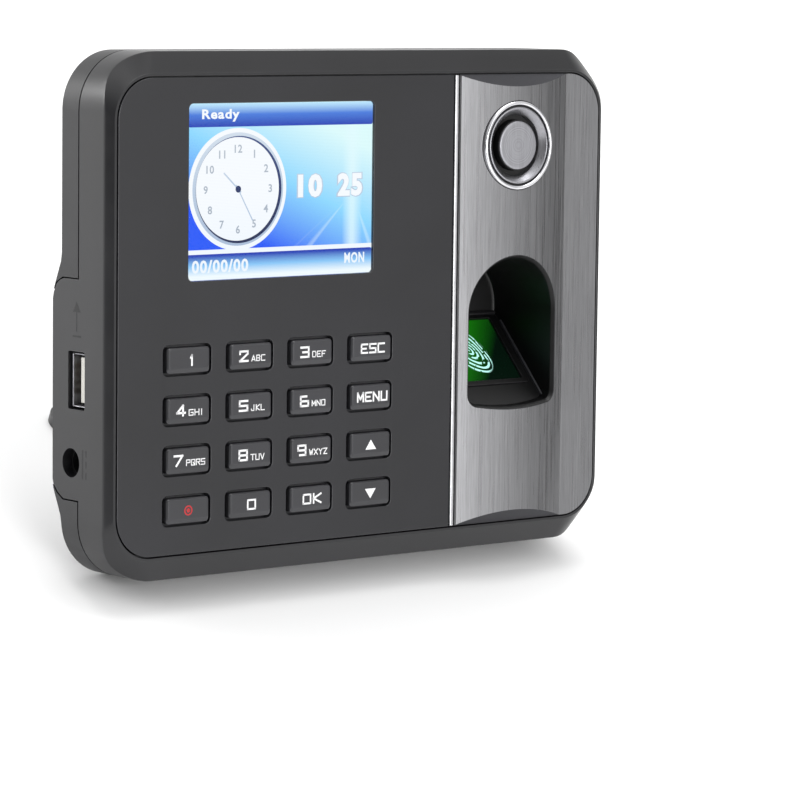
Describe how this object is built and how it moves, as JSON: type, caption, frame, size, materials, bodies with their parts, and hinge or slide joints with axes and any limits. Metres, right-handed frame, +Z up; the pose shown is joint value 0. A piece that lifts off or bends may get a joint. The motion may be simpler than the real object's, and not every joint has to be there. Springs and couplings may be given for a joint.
{
  "type": "fingerprint terminal",
  "caption": "Fingerprint attendance terminal with colour display, keypad, finger well and side sockets, leaning back on a bent-plate desk stand.",
  "frame": {"origin": "middle of the stand's width on the underside of its flat foot, 6 mm behind the bend, on the desk", "axes": "+X to the terminal's right as a user faces it, +Y from the user towards the terminal's back, +Z up"},
  "size_m": [0.16, 0.0912, 0.1244],
  "materials": {
    "front_housing": "fine satin texture",
    "rear_housing": "fine leather grain",
    "front_panel": "gloss, moulded",
    "display_window": "clear lens",
    "trim_strip": "bright",
    "sensor_fascia": "brushed gunmetal look",
    "ring_bezel": "polished",
    "button_switch": "board with a tact switch",
    "finger_well": "gloss black",
    "sensor_glass": "lit from behind",
    "sensor_block": "moulded",
    "sensor_board": "glass-fibre board",
    "sensor_ribbon": "flat cable",
    "display_panel": "lit display",
    "display_backlight": "light guide in its frame",
    "display_ribbon": "flexible print",
    "keypad_mat": "silicone",
    "keypad_board": "glass-fibre board",
    "keypad_ribbon": "flexible print",
    "main_board": "glass-fibre board",
    "board_chips": "moulded packages",
    "usb_socket_shell": "plated sheet",
    "usb_socket_tongue": "white moulding",
    "dc_socket": "moulded",
    "dc_socket_pin": "nickel plated",
    "buzzer": "moulded",
    "backup_cell": "satin",
    "cell_holder": "moulded",
    "housing_screws": "black zinc",
    "board_screws": "zinc",
    "rating_label": "dark printed film",
    "barcode_label": "white paper",
    "seal_label": "silver film",
    "ring_button": "brushed",
    "desk_stand": "black powder coat",
    "key_cap": "satin key cap"
  },
  "bodies": {
    "terminal": {"front_housing": "front_housing", "rear_housing": "rear_housing", "front_panel": "front_panel", "display_window": "display_window", "trim_strip": "trim_strip", "sensor_fascia": "sensor_fascia", "ring_bezel": "ring_bezel", "button_switch": "button_switch", "finger_well": "finger_well", "sensor_glass": "sensor_glass", "sensor_block": "sensor_block", "sensor_board": "sensor_board", "sensor_ribbon": "sensor_ribbon", "display_panel": "display_panel", "display_backlight": "display_backlight", "display_ribbon": "display_ribbon", "keypad_mat": "keypad_mat", "keypad_board": "keypad_board", "keypad_ribbon": "keypad_ribbon", "main_board": "main_board", "board_chips": "board_chips", "usb_socket_shell": "usb_socket_shell", "usb_socket_tongue": "usb_socket_tongue", "dc_socket": "dc_socket", "dc_socket_pin": "dc_socket_pin", "buzzer": "buzzer", "backup_cell": "backup_cell", "cell_holder": "cell_holder", "housing_screws": "housing_screws", "board_screws": "board_screws", "rating_label": "rating_label", "barcode_label": "barcode_label", "seal_label": "seal_label"},
    "ring_button": {"ring_button": "ring_button"},
    "desk_stand": {"desk_stand": "desk_stand"},
    "key_1": {"key_1": "key_cap"},
    "key_2": {"key_2": "key_cap"},
    "key_3": {"key_3": "key_cap"},
    "key_esc": {"key_esc": "key_cap"},
    "key_4": {"key_4": "key_cap"},
    "key_5": {"key_5": "key_cap"},
    "key_6": {"key_6": "key_cap"},
    "key_menu": {"key_menu": "key_cap"},
    "key_7": {"key_7": "key_cap"},
    "key_8": {"key_8": "key_cap"},
    "key_9": {"key_9": "key_cap"},
    "key_up": {"key_up": "key_cap"},
    "key_power": {"key_power": "key_cap"},
    "key_0": {"key_0": "key_cap"},
    "key_ok": {"key_ok": "key_cap"},
    "key_down": {"key_down": "key_cap"}
  },
  "joints": [
    {"name": "key_1_press", "type": "slide", "parent": "terminal", "child": "key_1", "axis": [0, 0.9063, -0.4226], "range_m": [0, 0.001], "stiffness_N_per_m": 800, "springref_m": -0.0004},
    {"name": "key_2_press", "type": "slide", "parent": "terminal", "child": "key_2", "axis": [0, 0.9063, -0.4226], "range_m": [0, 0.001], "stiffness_N_per_m": 800, "springref_m": -0.0004},
    {"name": "key_3_press", "type": "slide", "parent": "terminal", "child": "key_3", "axis": [0, 0.9063, -0.4226], "range_m": [0, 0.001], "stiffness_N_per_m": 800, "springref_m": -0.0004},
    {"name": "key_esc_press", "type": "slide", "parent": "terminal", "child": "key_esc", "axis": [0, 0.9063, -0.4226], "range_m": [0, 0.001], "stiffness_N_per_m": 800, "springref_m": -0.0004},
    {"name": "key_4_press", "type": "slide", "parent": "terminal", "child": "key_4", "axis": [0, 0.9063, -0.4226], "range_m": [0, 0.001], "stiffness_N_per_m": 800, "springref_m": -0.0004},
    {"name": "key_5_press", "type": "slide", "parent": "terminal", "child": "key_5", "axis": [0, 0.9063, -0.4226], "range_m": [0, 0.001], "stiffness_N_per_m": 800, "springref_m": -0.0004},
    {"name": "key_6_press", "type": "slide", "parent": "terminal", "child": "key_6", "axis": [0, 0.9063, -0.4226], "range_m": [0, 0.001], "stiffness_N_per_m": 800, "springref_m": -0.0004},
    {"name": "key_menu_press", "type": "slide", "parent": "terminal", "child": "key_menu", "axis": [0, 0.9063, -0.4226], "range_m": [0, 0.001], "stiffness_N_per_m": 800, "springref_m": -0.0004},
    {"name": "key_7_press", "type": "slide", "parent": "terminal", "child": "key_7", "axis": [0, 0.9063, -0.4226], "range_m": [0, 0.001], "stiffness_N_per_m": 800, "springref_m": -0.0004},
    {"name": "key_8_press", "type": "slide", "parent": "terminal", "child": "key_8", "axis": [0, 0.9063, -0.4226], "range_m": [0, 0.001], "stiffness_N_per_m": 800, "springref_m": -0.0004},
    {"name": "key_9_press", "type": "slide", "parent": "terminal", "child": "key_9", "axis": [0, 0.9063, -0.4226], "range_m": [0, 0.001], "stiffness_N_per_m": 800, "springref_m": -0.0004},
    {"name": "key_up_press", "type": "slide", "parent": "terminal", "child": "key_up", "axis": [0, 0.9063, -0.4226], "range_m": [0, 0.001], "stiffness_N_per_m": 800, "springref_m": -0.0004},
    {"name": "key_power_press", "type": "slide", "parent": "terminal", "child": "key_power", "axis": [0, 0.9063, -0.4226], "range_m": [0, 0.001], "stiffness_N_per_m": 800, "springref_m": -0.0004},
    {"name": "key_0_press", "type": "slide", "parent": "terminal", "child": "key_0", "axis": [0, 0.9063, -0.4226], "range_m": [0, 0.001], "stiffness_N_per_m": 800, "springref_m": -0.0004},
    {"name": "key_ok_press", "type": "slide", "parent": "terminal", "child": "key_ok", "axis": [0, 0.9063, -0.4226], "range_m": [0, 0.001], "stiffness_N_per_m": 800, "springref_m": -0.0004},
    {"name": "key_down_press", "type": "slide", "parent": "terminal", "child": "key_down", "axis": [0, 0.9063, -0.4226], "range_m": [0, 0.001], "stiffness_N_per_m": 800, "springref_m": -0.0004},
    {"name": "ring_button_press", "type": "slide", "parent": "terminal", "child": "ring_button", "axis": [0, 0.9063, -0.4226], "range_m": [0, 0.001], "stiffness_N_per_m": 1000, "springref_m": -0.0005},
    {"name": "stand_slide", "type": "slide", "parent": "terminal", "child": "desk_stand", "axis": [0, -0.4226, -0.9063], "range_m": [0, 0.012]}
  ]
}
